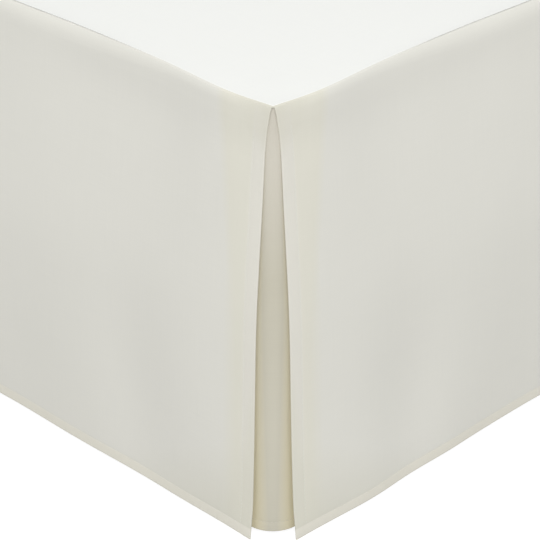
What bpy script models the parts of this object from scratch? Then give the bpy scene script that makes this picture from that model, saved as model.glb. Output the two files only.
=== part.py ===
"""A tailored bed skirt with split foot corners, hung round a plain box base on six legs.

Run it with blender --background --python part.py, or from Blender's text editor.
Metres, +Z up. The origin is on the floor under the middle of the whole footprint. The head of
the bed is at +Y and its foot at -Y.

A flat deck lies on the base. A drop is sewn along its foot edge and each long edge, rolls over
the edge of the base and falls to the floor, flaring out a little as stiff cloth does. The drops
part at both foot corners, and a short underlay turns round each corner behind them.
"""

import math
from collections import namedtuple

import bmesh
import bpy
import numpy as np
from mathutils import Matrix

# Driving sizes
BED_WIDTH = 1.524  # a queen bed, 60 by 80 inches
BED_LENGTH = 2.032
DROP = 0.381  # seam to hem, 15 inches
FLOOR_GAP = 0.005  # floor to hem
CLOTH = 0.0012  # one layer of cloth
PIECE_GAP = 0.0003  # between pieces that touch
HEM = 0.010  # height of the turned hem
HEM_CLOTH = 0.0022  # thickness where the hem is turned up
END_HEM = 0.013  # width of the turned ends of a drop

# The seam beside a split corner, where the drops' weight draws it out and over the edge
SEAM_OUT = 0.0061
SEAM_OUT_PLACE = 0.040
SEAM_OUT_WIDTH = 0.061
SEAM_IN = 0.0012  # the seam further on, drawn in
SEAM_IN_PLACE = 0.225
SEAM_IN_WIDTH = 0.045
SEAM_SINK = 0.0010
SEAM_SINK_RUN = 0.190
TIP_LIFT = 0.80  # share of the sink that the corner itself keeps out of
TIP_LIFT_RUN = 0.022
SEAM_GAP = 0.0008  # between the deck and a drop, which bend towards each other there
DECK_CURL = 0.020  # how far in from its edge the deck bends down to the seam there

# How a drop hangs
HEM_OUT_AT_SPLIT = 0.0245  # the hem, outside the straight line of the seam
HEM_OUT = 0.0265  # the same, away from a split corner
LIP = 0.0016  # the strip outside the seam that goes on in line with the deck
LEAN_AT_SPLIT = 0.38  # out for each metre down, just below the lip near a split corner
LEAN_AWAY = 0.50
TIP_LEAN = 0.5  # share of that lean which the corner itself lacks
TIP_LEAN_RUN = 0.030
ROLL_AT_SPLIT = 0.009  # how far down the cloth turns from there to upright, at a split corner
ROLL_AWAY = 0.017
ROLL_GROWS = 0.260  # how far from the corner these and the hem reach their values away from it
FALL_TOP = 0.020  # the drop below all of that
KNEE = 0.47  # share of the drop above the place where it flares less
KNEE_SOFT = 0.08
KNEE_FLARE = 1.5  # how much more the part above it flares
TIP_KICK = 0.002  # the hem's tips at a split corner stand out this much more
TIP_WIDTH = 0.018
TIP_HEIGHT = 0.020
APEX_LEAN = 0.0030  # how far the ends of two drops lean towards each other at the top of the split
APEX_RUN = 0.030
APEX_HEIGHT = 0.040

# Soft folds of a drop. along is measured from its split corner and drop from the seam, to the
# middle of the fold, and out is how far the cloth stands out there.
Fold = namedtuple("Fold", "along half_width drop half_drop out")
CORNER_FOLDS = (
    Fold(0.000, 0.016, 0.042, 0.026, 0.0010),
    Fold(0.026, 0.018, 0.030, 0.022, -0.0012),
    Fold(0.160, 0.140, 0.036, 0.045, -0.0016),
    Fold(0.200, 0.140, 0.190, 0.110, 0.0020),
    Fold(0.056, 0.030, 0.290, 0.090, 0.0020),
    Fold(0.084, 0.030, 0.290, 0.100, 0.0014),
    Fold(0.148, 0.036, 0.300, 0.110, -0.0028),
    Fold(0.214, 0.042, 0.290, 0.110, 0.0028),
    Fold(0.288, 0.044, 0.320, 0.090, -0.0014),
)
SIDE_HEM_FOLDS = (
    Fold(0.098, 0.052, 0.381, 0.070, 0.0048),
    Fold(0.190, 0.030, 0.381, 0.060, 0.0018),
)
RUN_FOLDS = (
    Fold(0.372, 0.046, 0.300, 0.120, 0.0030),
    Fold(0.486, 0.058, 0.320, 0.130, -0.0030),
    Fold(0.634, 0.066, 0.330, 0.150, 0.0034),
    Fold(0.742, 0.050, 0.310, 0.120, -0.0022),
    Fold(0.905, 0.074, 0.340, 0.160, 0.0036),
    Fold(1.064, 0.068, 0.300, 0.140, -0.0030),
    Fold(1.193, 0.052, 0.320, 0.120, 0.0026),
    Fold(1.352, 0.080, 0.340, 0.150, -0.0034),
    Fold(1.521, 0.062, 0.310, 0.130, 0.0032),
    Fold(1.655, 0.058, 0.330, 0.130, -0.0026),
    Fold(1.818, 0.070, 0.340, 0.150, 0.0032),
    Fold(1.948, 0.048, 0.300, 0.110, -0.0020),
)

# Faces of a drop
FINE_RUN = 0.320  # beside a split corner
FINE_FACE = 0.024
LONG_FACE = 0.056
ROLL_FACES = 3
FALL_FACES = 11
FALL_GRADING = 1.4  # above 1, the faces below the roll are shorter
HEM_STEP = 0.0006  # over which the turned hem's thickness starts

CURL_FACES = 3  # of the deck, from a seam to the first of the places that it shares with the drops

# The underlay behind a split corner
UNDERLAY_REACH = 0.040  # along each side of the corner
Level = namedtuple("Level", "drop out round")  # out of the seam's line, and the radius of the turn
UNDERLAY_LEVELS = (
    Level(0.0042, 0.0026, 0.0046),
    Level(0.0120, 0.0040, 0.0060),
    Level(0.0300, 0.0057, 0.0104),
    Level(0.0750, 0.0087, 0.0160),
    Level(0.1800, 0.0136, 0.0255),
    Level(DROP, 0.0128, 0.0270),
)
UNDERLAY_SIDE_FACES = 3
UNDERLAY_TURN_FACES = 8
UNDERLAY_FALL_FACES = 9
UNDERLAY_GRADING = 1.8  # above 1, the faces near its top are shorter

# The base
BASE_HEIGHT = 0.230
BASE_INSET = 0.002  # its sides, inside the seam
BASE_CORNER = 0.024  # radius of its upright corners
BASE_RIM = 0.016  # radius of its other edges
LEG_TOP_RADIUS = 0.028
LEG_FOOT_RADIUS = 0.020
LEG_INSET_X = 0.130  # from the base's side to a leg's axis
LEG_INSET_Y = 0.120
ROUND_SIDES = 24

# Worked out from them
SEAM_TILT = math.atan(2 * SEAM_SINK / DECK_CURL)  # the slope at which the deck reaches the seam
SEAM_HEIGHT = FLOOR_GAP + DROP
HALF_WIDTH = BED_WIDTH / 2
FOOT_Y = (HEM_OUT - BED_LENGTH) / 2  # the seam at the foot
HEAD_Y = FOOT_Y + BED_LENGTH
BASE_TOP = SEAM_HEIGHT - CLOTH - PIECE_GAP
BASE_BOTTOM = BASE_TOP - BASE_HEIGHT
LEG_HEIGHT = BASE_BOTTOM - PIECE_GAP


def clear_scene():
    for item in list(bpy.data.objects):
        bpy.data.objects.remove(item, do_unlink=True)


def new_collection(name):
    collection = bpy.data.collections.new(name)
    bpy.context.scene.collection.children.link(collection)
    return collection


def new_material(name, colour, roughness, metallic=0.0):
    material = bpy.data.materials.new(name)
    material.use_nodes = True
    shader = material.node_tree.nodes["Principled BSDF"]
    shader.inputs["Base Color"].default_value = (*colour, 1.0)
    shader.inputs["Roughness"].default_value = roughness
    shader.inputs["Metallic"].default_value = metallic
    return material


def new_object(name, mesh_source, material, collection):
    """Makes an object of a bmesh, which is freed."""
    mesh = bpy.data.meshes.new(name)
    mesh_source.to_mesh(mesh)
    mesh_source.free()
    mesh.materials.append(material)
    made = bpy.data.objects.new(name, mesh)
    collection.objects.link(made)
    return made


def smooth_step(share):
    share = min(max(share, 0.0), 1.0)
    return share * share * (3.0 - 2.0 * share)


def bell(distance, half_width):
    return math.exp(-((distance / half_width) ** 2))


def eased_min(value, limit, soft):
    """The lesser of the two, with a soft turn from one to the other."""
    over = min(max(value - limit + soft, 0.0), 2.0 * soft)
    return min(value, limit + soft) - over * over / (4.0 * soft)


def mixed(first, last, share):
    return first + (last - first) * share


def seam_out(corner):
    """How far the seam stands outside its straight line, at a distance from a split corner."""
    drawn_in = SEAM_IN * bell(corner - SEAM_IN_PLACE, SEAM_IN_WIDTH)
    return SEAM_OUT * bell(corner - SEAM_OUT_PLACE, SEAM_OUT_WIDTH) - drawn_in


def seam_sag(corner):
    """Near 1 beside a split corner and 0 where the seam lies level with the deck."""
    return (1.0 - smooth_step(corner / SEAM_SINK_RUN)) * (1.0 - TIP_LIFT * bell(corner, TIP_LIFT_RUN))


def fold_out(folds, along, drop):
    """How far these folds push the cloth out at one place."""
    return sum(
        fold.out * bell(along - fold.along, fold.half_width) * bell(drop - fold.drop, fold.half_drop)
        for fold in folds
    )


def drop_stations(length, splits):
    """Distances along a drop, close together beside its split ends."""
    fine = np.arange(0.0, FINE_RUN, FINE_FACE)
    first = fine if splits[0] else [0.0]
    last = length - fine if splits[1] else [length]
    ends = [END_HEM, END_HEM + HEM_STEP, length - END_HEM - HEM_STEP, length - END_HEM]
    start, stop = max(first), min(last)
    middle = np.linspace(start, stop, 1 + round((stop - start) / LONG_FACE))
    return np.unique(np.round(np.concatenate([first, middle, last, ends]), 6))


def drop_levels(hem_top):
    """Rows down a drop, each as a share of its roll, which is -1 at the seam and 0 at the lip's
    edge, and a drop below the seam."""
    roll = [(-1.0, None)] + [(step / ROLL_FACES, None) for step in range(ROLL_FACES + 1)]
    shares = (np.arange(FALL_FACES + 1) / FALL_FACES) ** FALL_GRADING
    fall = FALL_TOP + (hem_top - FALL_TOP) * shares
    return roll[:-1] + [(1.0, level) for level in (*fall, hem_top + HEM_STEP, DROP)]


def drop_point(length, splits, folds, along, level):
    """A point of a drop's outer face: x along the seam, -y outward and -z down."""
    rolled, drop = level
    corner = min(
        along if splits[0] else math.inf,
        length - along if splits[1] else math.inf,
    )
    away = smooth_step(corner / ROLL_GROWS)
    tilt = SEAM_TILT * seam_sag(corner)
    roll = mixed(ROLL_AT_SPLIT, ROLL_AWAY, away * away)
    leaning = mixed(LEAN_AT_SPLIT, LEAN_AWAY, away * away) * (1.0 - TIP_LEAN * bell(corner, TIP_LEAN_RUN))
    lip = LIP * min(rolled + 1.0, 1.0)
    turned = 1.0 - (1.0 - max(rolled, 0.0)) ** 3
    out = seam_out(corner) + lip * math.cos(tilt) + leaning * roll / 3.0 * turned
    sunk = SEAM_SINK * seam_sag(corner) + lip * math.sin(tilt)
    height = sunk + roll * max(rolled, 0.0) if drop is None else drop
    fallen = (height - sunk) / (DROP - sunk)
    flare = (fallen + KNEE_FLARE * eased_min(fallen, KNEE, KNEE_SOFT)) / (1.0 + KNEE_FLARE * KNEE)
    out += (mixed(HEM_OUT_AT_SPLIT, HEM_OUT, away) - out) * flare
    lean = APEX_LEAN * (1.0 - smooth_step(corner / APEX_RUN)) * (1.0 - min(height / APEX_HEIGHT, 1.0)) ** 2
    x = along - lean if along < length / 2 else along + lean
    if drop is None:
        return x, -out, -height
    out += fold_out(folds, corner, drop) * smooth_step(drop / (2 * FALL_TOP))
    out += TIP_KICK * bell(corner, TIP_WIDTH) * bell(DROP - drop, TIP_HEIGHT)
    return x, -out, -drop


def sheet(name, columns, rows, place, material, collection, in_hem=None):
    """A sheet of cloth: a grid set out by place, its thickness behind its outer face.

    in_hem says where the cloth is turned up and so is thicker.
    """
    mesh_source = bmesh.new()
    bmesh.ops.create_grid(mesh_source, x_segments=len(columns) - 1, y_segments=len(rows) - 1, size=0.5)
    hems = []
    for vertex in mesh_source.verts:
        column = columns[round((vertex.co.x + 0.5) * (len(columns) - 1))]
        row = rows[round((0.5 - vertex.co.y) * (len(rows) - 1))]
        vertex.co = place(column, row)
        if in_hem and in_hem(column, row):
            hems.append(vertex.index)
    made = new_object(name, mesh_source, material, collection)
    made.data.shade_smooth()
    wall = made.modifiers.new("thickness", "SOLIDIFY")
    wall.offset = -1.0
    wall.thickness = CLOTH
    if in_hem:
        made.vertex_groups.new(name="hem").add(hems, 1.0, "REPLACE")
        wall.vertex_group = "hem"
        wall.thickness = HEM_CLOTH
        wall.thickness_vertex_group = CLOTH / HEM_CLOTH
    return made


def add_drop(name, length, splits, folds, material, collection):
    """One drop, from its seam to its hem. splits says which of its ends part at a foot corner."""
    hem_top = DROP - HEM

    def place(along, level):
        return drop_point(length, splits, folds, along, level)

    def in_hem(along, level):
        return min(along, length - along) <= END_HEM or (level[1] or 0.0) > hem_top

    columns = drop_stations(length, splits)
    return sheet(name, columns, drop_levels(hem_top), place, material, collection, in_hem)


def add_drops(material, collection):
    """The three drops, each a little short of the corners of the seam so that no two touch."""
    foot_run = BED_WIDTH - 2 * PIECE_GAP
    side_run = BED_LENGTH - PIECE_GAP
    foot_folds = CORNER_FOLDS + RUN_FOLDS[:4]
    side_folds = CORNER_FOLDS + SIDE_HEM_FOLDS + RUN_FOLDS
    foot = add_drop("drop_foot", foot_run, (True, True), foot_folds, material, collection)
    left = add_drop("drop_left", side_run, (False, True), side_folds, material, collection)
    right = add_drop("drop_right", side_run, (True, False), side_folds, material, collection)
    foot.location = (PIECE_GAP - HALF_WIDTH, FOOT_Y, SEAM_HEIGHT)
    left.location = (-HALF_WIDTH, HEAD_Y, SEAM_HEIGHT)
    left.rotation_euler.z = -math.pi / 2
    right.location = (HALF_WIDTH, FOOT_Y + PIECE_GAP, SEAM_HEIGHT)
    right.rotation_euler.z = math.pi / 2


def underlay_stations():
    """Places round an underlay: -1 to 0 up to its turn, 0 to 1 round it, and 1 to 2 past it."""
    side = np.arange(UNDERLAY_SIDE_FACES) / UNDERLAY_SIDE_FACES
    turn = np.arange(UNDERLAY_TURN_FACES) / UNDERLAY_TURN_FACES
    return [*(side - 1.0), *turn, *(side + 1.0), 2.0]


def underlay_point(station, drop):
    """A point of an underlay's outer face, from the corner of the seam: the foot side runs to -x."""
    drops, outs, rounds = zip(*UNDERLAY_LEVELS)
    out = np.interp(drop, drops, outs)
    radius = np.interp(drop, drops, rounds)
    turned = min(max(station, 0.0), 1.0) * math.pi / 2
    straight = UNDERLAY_REACH + out - radius
    x = out - radius + radius * math.sin(turned) + min(station, 0.0) * straight
    y = radius - out - radius * math.cos(turned) + max(station - 1.0, 0.0) * straight
    return x, y, -drop


def add_underlays(material, collection):
    top, hem_top = UNDERLAY_LEVELS[0].drop, DROP - HEM
    shares = (np.arange(UNDERLAY_FALL_FACES + 1) / UNDERLAY_FALL_FACES) ** UNDERLAY_GRADING
    rows = [*(top + (hem_top - top) * shares), hem_top + HEM_STEP, DROP]

    def in_hem(_station, drop):
        return drop > hem_top

    for name, side in (("underlay_left", -1), ("underlay_right", 1)):
        made = sheet(name, underlay_stations(), rows, underlay_point, material, collection, in_hem)
        if side < 0:
            made.data.transform(Matrix.Scale(-1, 4, (1, 0, 0)))
            made.data.flip_normals()
        made.location = (side * HALF_WIDTH, FOOT_Y, SEAM_HEIGHT)


def deck_point(across, back):
    """A point of the deck's top, from the foot's middle: back is the distance from the foot seam."""
    beside = HALF_WIDTH - abs(across)
    foot_curl = max(1.0 - back / DECK_CURL, 0.0) ** 2
    side_curl = max(1.0 - beside / DECK_CURL, 0.0) ** 2
    x = abs(across) + (seam_out(back) - SEAM_GAP) * side_curl
    y = back - (seam_out(beside) - SEAM_GAP) * foot_curl
    sunk = SEAM_SINK * max(seam_sag(back) * side_curl, seam_sag(beside) * foot_curl)
    return math.copysign(x, across), y, -sunk


def add_deck(material, collection):
    """The panel between mattress and base, flat but for its edges beside the split corners."""
    curl = np.linspace(0.0, FINE_FACE, CURL_FACES, endpoint=False)
    beside = [*curl, *np.arange(FINE_FACE, SEAM_SINK_RUN + FINE_FACE, FINE_FACE)]
    across = [distance - HALF_WIDTH for distance in beside] + [HALF_WIDTH - distance for distance in beside]
    back = [BED_LENGTH, *reversed(beside)]
    deck = sheet("deck", sorted(across), back, deck_point, material, collection)
    deck.location = (0.0, FOOT_Y, SEAM_HEIGHT)


def add_base_box(material, collection):
    """The box of the base, its upright corners rounded first and then its rims."""
    mesh_source = bmesh.new()
    bmesh.ops.create_cube(mesh_source, size=1.0)
    size = (BED_WIDTH - 2 * BASE_INSET, BED_LENGTH - 2 * BASE_INSET, BASE_HEIGHT)
    bmesh.ops.scale(mesh_source, vec=size, verts=mesh_source.verts)
    upright = [edge for edge in mesh_source.edges if edge.verts[0].co.xy == edge.verts[1].co.xy]
    bevel(mesh_source, upright, BASE_CORNER, 5)
    level = [edge for edge in mesh_source.edges if edge.verts[0].co.z == edge.verts[1].co.z]
    bevel(mesh_source, level, BASE_RIM, 3)
    box = new_object("base_box", mesh_source, material, collection)
    box.location = (0.0, (FOOT_Y + HEAD_Y) / 2, BASE_TOP - BASE_HEIGHT / 2)
    box.data.shade_smooth()
    box.data.set_sharp_from_angle(angle=math.radians(30))


def bevel(mesh_source, edges, radius, segments):
    bmesh.ops.bevel(
        mesh_source,
        geom=edges,
        offset=radius,
        affect="EDGES",
        segments=segments,
        profile=0.5,
        material=-1,
    )


def add_legs(material, collection):
    """Six turned legs: two at the foot, two halfway and two at the head."""
    reach_x = HALF_WIDTH - BASE_INSET - LEG_INSET_X
    reach_y = BED_LENGTH / 2 - BASE_INSET - LEG_INSET_Y
    middle_y = (FOOT_Y + HEAD_Y) / 2
    for place, along in (("foot", -1), ("middle", 0), ("head", 1)):
        for hand, across in (("left", -1), ("right", 1)):
            mesh_source = bmesh.new()
            bmesh.ops.create_cone(
                mesh_source,
                cap_ends=True,
                segments=ROUND_SIDES,
                radius1=LEG_FOOT_RADIUS,
                radius2=LEG_TOP_RADIUS,
                depth=LEG_HEIGHT,
            )
            leg = new_object(f"leg_{place}_{hand}", mesh_source, material, collection)
            leg.location = (across * reach_x, middle_y + along * reach_y, LEG_HEIGHT / 2)
            leg.data.shade_smooth()
            leg.data.set_sharp_from_angle(angle=math.radians(30))


def main():
    clear_scene()
    collection = new_collection("bed_skirt_on_base")
    ivory = new_material("ivory_cotton", (0.69, 0.68, 0.61), 0.9)
    underlay_ivory = new_material("underlay_cotton", (0.64, 0.61, 0.52), 0.9)
    white = new_material("deck_cloth", (0.86, 0.86, 0.84), 0.9)
    ticking = new_material("base_cover", (0.62, 0.60, 0.56), 0.95)
    wood = new_material("leg_wood", (0.16, 0.09, 0.05), 0.45)
    add_deck(white, collection)
    add_drops(ivory, collection)
    add_underlays(underlay_ivory, collection)
    add_base_box(ticking, collection)
    add_legs(wood, collection)


main()
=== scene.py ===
"""Cloth, stitches, wood and studio for a tailored bed skirt hung round a plain box base.

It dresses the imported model, which is loaded as a fixed frame. Metres, +Z up, the head of the bed
at +Y and its foot at -Y.
"""

import math
from collections import namedtuple

import bmesh
import bpy
import numpy as np
from mathutils import Matrix, Vector, noise


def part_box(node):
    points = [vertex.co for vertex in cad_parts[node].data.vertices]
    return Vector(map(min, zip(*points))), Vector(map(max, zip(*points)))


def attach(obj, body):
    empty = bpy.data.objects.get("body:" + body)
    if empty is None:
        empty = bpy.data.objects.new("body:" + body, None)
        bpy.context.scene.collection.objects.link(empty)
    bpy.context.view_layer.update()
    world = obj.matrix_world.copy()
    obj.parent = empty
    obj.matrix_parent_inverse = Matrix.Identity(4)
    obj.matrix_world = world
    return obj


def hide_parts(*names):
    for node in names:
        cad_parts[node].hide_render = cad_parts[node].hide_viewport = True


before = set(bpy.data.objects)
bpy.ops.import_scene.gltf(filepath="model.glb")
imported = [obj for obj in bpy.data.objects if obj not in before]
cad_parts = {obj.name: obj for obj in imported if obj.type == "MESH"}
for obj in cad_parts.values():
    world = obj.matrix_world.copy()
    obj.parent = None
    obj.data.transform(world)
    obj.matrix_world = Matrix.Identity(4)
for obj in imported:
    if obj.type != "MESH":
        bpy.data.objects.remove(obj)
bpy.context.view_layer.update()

bl_info = {
    "name": "Bed skirt on a box base",
    "version": (1, 0, 0),
    "blender": (4, 5, 0),
    "location": "View3D > Sidebar > Bed Skirt",
    "description": "Dresses a packed bed skirt and its base in cloth, stitches and wood",
    "category": "Object",
}

# The cut and the seam
DROP = 0.381  # seam to hem
HEM = 0.010  # height of the turned hem
END_HEM = 0.013  # width of the turned ends of a drop
SEAM_ALLOWANCE = 0.010  # of a flat piece, beyond the seam
DECK_CUT = (1.55, 2.06)  # the deck's flat piece
STITCH_INSET = 0.001  # from the inner edge of a hem to its stitches
END_STITCHES_TOP = 0.018  # under the seam
THREAD_DEPTH = 0.00005  # of the bumps that threads make
PIECE_GAP = 0.0003  # from the end of the seam to a drop's split end
SEAM_OUT = 0.0061  # the seam beside a split corner, drawn out and over the edge
SEAM_OUT_PLACE = 0.040
SEAM_OUT_WIDTH = 0.061
SEAM_IN = 0.0012  # the seam further on, drawn in
SEAM_IN_PLACE = 0.225
SEAM_IN_WIDTH = 0.045
SEAM_SINK = 0.0010  # how far the seam lies under the deck's level, near a split corner
SEAM_SINK_RUN = 0.190
TIP_LIFT = 0.80  # share of the sink that the corner itself keeps out of
TIP_LIFT_RUN = 0.022
SEAM_GAP = (-0.0001, 0.0004)  # between deck and drop, at a split corner and away from it
DECK_CURL = 0.020
SEAM_RISE = 0.0008  # of the cloth over the edges that are turned under along the seam
SEAM_RISE_RUN = 0.006
SEAM_STEP = 0.6  # share of that rise which the drop lacks further on
SEAM_STEP_PLACE = 0.080
SEAM_STEP_RUN = 0.140

# How a drop hangs
HEM_OUT_AT_SPLIT = 0.0245  # how far the hem stands outside the seam's straight line
HEM_OUT = 0.0265
LIP = 0.0016  # the strip outside the seam that goes on in line with the deck
LEAN_AT_SPLIT = 0.38  # out for each metre down, just below the lip near a split corner
LEAN_AWAY = 0.50
TIP_LEAN = 0.5  # share of that lean which the corner itself lacks
TIP_LEAN_RUN = 0.030
ROLL_AT_SPLIT = 0.009  # how far down the cloth turns from there to upright
ROLL_AWAY = 0.017
ROLL_GROWS = 0.260
FALL_TOP = 0.020
KNEE = 0.47  # share of the drop above the place where it flares less
KNEE_SOFT = 0.08
KNEE_FLARE = 1.5
TIP_KICK = 0.002  # how far a drop's lower corner turns out
TIP_WIDTH = 0.018
TIP_HEIGHT = 0.020
APEX_LEAN = 0.0043  # how far the ends of two drops lean towards each other at the top of the split
APEX_RUN = 0.030
APEX_HEIGHT = 0.040
STITCH_DIP = 0.00012  # how far a row of stitches pulls the cloth in
DECK_STITCH_DIP = 0.0003
STITCH_DIP_WIDTH = 0.0016
RIPPLE = 0.0004  # small unevenness of hanging cloth
RIPPLES_ALONG = 9.0  # for each metre
RIPPLES_DOWN = 5.0

# A fold stands out most at a place along the seam and a drop below it, and fades over its half sizes.
Fold = namedtuple("Fold", "along half_width drop half_drop out")
CORNER_FOLDS = (
    Fold(0.000, 0.016, 0.042, 0.026, 0.0006),
    Fold(0.000, 0.020, 0.320, 0.130, -0.0008),
    Fold(0.024, 0.024, 0.381, 0.070, 0.0006),
    Fold(0.026, 0.018, 0.030, 0.022, -0.0012),
    Fold(0.160, 0.140, 0.036, 0.045, -0.0016),
    Fold(0.260, 0.190, 0.190, 0.110, 0.0022),
    Fold(0.050, 0.012, 0.060, 0.060, -0.0005),
    Fold(0.056, 0.030, 0.290, 0.090, 0.0012),
    Fold(0.084, 0.030, 0.290, 0.100, 0.0014),
    Fold(0.148, 0.036, 0.300, 0.110, -0.0028),
    Fold(0.226, 0.056, 0.290, 0.110, 0.0014),
    Fold(0.330, 0.070, 0.260, 0.120, 0.0016),
    Fold(0.288, 0.044, 0.320, 0.090, -0.0004),
    Fold(0.150, 0.034, 0.381, 0.060, 0.0012),
)
SIDE_HEM_FOLDS = (
    Fold(0.034, 0.042, 0.381, 0.070, 0.0018),
    Fold(0.098, 0.052, 0.381, 0.070, 0.0048),
    Fold(0.158, 0.026, 0.381, 0.060, 0.0010),
    Fold(0.190, 0.030, 0.381, 0.060, 0.0018),
)
RUN_FOLDS = (
    Fold(0.372, 0.046, 0.300, 0.120, 0.0030),
    Fold(0.486, 0.058, 0.320, 0.130, -0.0030),
    Fold(0.634, 0.066, 0.330, 0.150, 0.0034),
    Fold(0.742, 0.050, 0.310, 0.120, -0.0022),
    Fold(0.905, 0.074, 0.340, 0.160, 0.0036),
    Fold(1.064, 0.068, 0.300, 0.140, -0.0030),
    Fold(1.193, 0.052, 0.320, 0.120, 0.0026),
    Fold(1.352, 0.080, 0.340, 0.150, -0.0034),
    Fold(1.521, 0.062, 0.310, 0.130, 0.0032),
    Fold(1.655, 0.058, 0.330, 0.130, -0.0026),
    Fold(1.818, 0.070, 0.340, 0.150, 0.0032),
    Fold(1.948, 0.048, 0.300, 0.110, -0.0020),
)

# Columns and rows of the sheets: distances from a drop's end, shares of its lip (below 0) and roll,
# and distances from the hem's top, the deck's seams and its head edge
END_STATIONS = (0.0, 0.0012, 0.003, 0.006, 0.009, 0.0105, 0.0115, 0.0122, 0.0129, 0.014, 0.016, 0.019)
NEAR_END = 0.320  # beyond this the columns are MIDDLE_STEP apart
MIDDLE_STEP = 0.014
ROLL_STEPS = (-1.0, -0.75, -0.5, -0.25, -0.1, 0.0, 0.03, 0.08, 0.16, 0.26, 0.38, 0.5, 0.62, 0.74, 0.86)
HEM_STEPS = (-0.0022, -0.001, 0.0, 0.0006, 0.001, 0.0014, 0.002, 0.0032, 0.006, 0.0085)
DECK_EDGE_STEPS = (0.0, 0.001, 0.0025, 0.005, 0.008, 0.012, 0.016, 0.020, 0.024)
DECK_HEAD_STEPS = (0.0, 0.0025, 0.005, 0.0075, 0.009, 0.010, 0.011, 0.0125, 0.016, 0.024)
DECK_FAR = 0.170  # beyond this the deck's columns are DECK_STEP apart
DECK_STEP = 0.030
EDGE_ROUND = 0.4  # rounding of a cut edge, as a share of the cloth's thickness

# The underlay behind a split corner. A station on it is 0 to 1 round the corner, and runs from -1 on
# the foot side to 2 on the long side.
UNDERLAY_REACH = 0.040
UNDERLAY_END = 0.005  # of the flat piece, beyond its reach on each side
STATION_RUN = 0.05  # of the CUT map, for each station
UnderlayLevel = namedtuple("UnderlayLevel", "drop out round")
UNDERLAY_LEVELS = (
    UnderlayLevel(0.0010, 0.0045, 0.0030),
    UnderlayLevel(0.0045, 0.0050, 0.0035),
    UnderlayLevel(0.0120, 0.0058, 0.0056),
    UnderlayLevel(0.0300, 0.0074, 0.0108),
    UnderlayLevel(0.0750, 0.0098, 0.0155),
    UnderlayLevel(0.1800, 0.0142, 0.0250),
    UnderlayLevel(DROP, 0.0128, 0.0270),
)

# The base
BASE_INSET = 0.002  # from the seam to the base
BASE_CORNER = 0.024  # rounding of its upright edges
BASE_RIM = 0.016
COVER_TURNED_UNDER = 0.012  # the cover's edge round the dust cover
COVER_EDGE_DEPTH = 0.0006
PIPING_PROUD = 0.0009
LEG_FOOT_RADIUS = 0.020
GLIDE_INSET = 0.0035  # from the foot's edge to the glide's

# Places taken from the frame
BASE_LOW, BASE_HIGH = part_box("base_box")
HALF_WIDTH = BASE_HIGH.x + BASE_INSET
FOOT_Y = BASE_LOW.y - BASE_INSET
HEAD_Y = BASE_HIGH.y + BASE_INSET
RIGHT_CORNER = Vector((HALF_WIDTH, FOOT_Y, 0.0))  # the right foot corner, on the floor
BED_WIDTH = 2 * HALF_WIDTH
BED_LENGTH = HEAD_Y - FOOT_Y
SEAM_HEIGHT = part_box("deck")[1].z
SEAM_TILT = math.atan(2 * SEAM_SINK / DECK_CURL)
HEM_TOP = DROP - HEM
ABOVE_HEM = HEM_TOP - 0.005
HEM_STITCHES = HEM_TOP + STITCH_INSET
END_STITCHES = END_HEM - STITCH_INSET

# Where a sheet's tint changes. A strip is measured on one axis of the sheet's EDGES map, and its slant
# is how much wider it gets for each metre on the other axis. The later rows lie over the earlier ones.
CUT = "cloth"  # UV map: metres along and down the cloth
EDGES = "edges"  # UV map: from the split corner, or a sheet's nearer end, and metres from the hem
FROM_SPLIT, FROM_HEM = 0, 1  # the axes of EDGES
NO_SPLIT = 9.0  # farther than any strip reaches
Strip = namedtuple("Strip", "axis width slant soft colour")
# The drops' backed, corner and low strips are painted shade; the end and hem strips are the turned cloth
DROP_STRIPS = (
    Strip(FROM_SPLIT, 0.0265, 0.006, 0.014, "backed_shade_colour"),
    Strip(FROM_SPLIT, -0.0060, 0.146, 0.010, "backed_shade_colour"),
    Strip(FROM_SPLIT, END_HEM, 0.0, 0.002, "end_colour"),
    Strip(FROM_HEM, 0.150, -6.0, 0.060, "backed_shade_colour"),
    # Painted shade at a drop's upper corner beside the split
    Strip(FROM_SPLIT, -0.350, 1.0, 0.030, "corner_shade_colour"),
    # Painted shade at a drop's lower corner beside the split
    Strip(FROM_HEM, 0.050, -0.5, 0.090, "low_shade_colour"),
    Strip(FROM_HEM, HEM, 0.0, 0.0006, "hem_colour"),
)
# The underlays' tints are painted shade of the split, and painted light on the flanks tucked behind the
# drops
UNDERLAY_STRIPS = (
    Strip(FROM_HEM, 0.285, 0.0, 0.100, "underlay_middle_shade_colour"),
    Strip(FROM_HEM, 0.165, 0.0, 0.120, "underlay_low_shade_colour"),
    # Painted light on the underlays' flanks tucked behind the drops
    Strip(FROM_SPLIT, 1.25, -0.62, 0.35, "tucked_light_colour"),
)

# The studio
FLOOR_REACH = 40.0  # from the floor's middle to each side
LIGHT_HEIGHT = 0.2  # above the right foot corner, of the point that the light faces
LIGHT_FROM_POINT = (2.9, -2.9, 2.9)
LIGHT_SIZE = 3.6
CAMERA_FROM_CORNER = (0.97563, -0.98019, 0.98626)  # from the right foot corner, on the floor
CAMERA_DOWN = math.radians(28.148)
CAMERA_TURN = math.radians(44.959)
SENSOR_WIDTH = 36.0
FOCAL_SHARE = 2028.2 / 540  # of the sensor's width


def colour_property(name, description, default):
    return bpy.props.FloatVectorProperty(
        name=name, description=description, default=default, subtype="COLOR"
    )


def length_property(name, description, default):
    return bpy.props.FloatProperty(name=name, description=description, default=default, unit="LENGTH")


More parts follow.
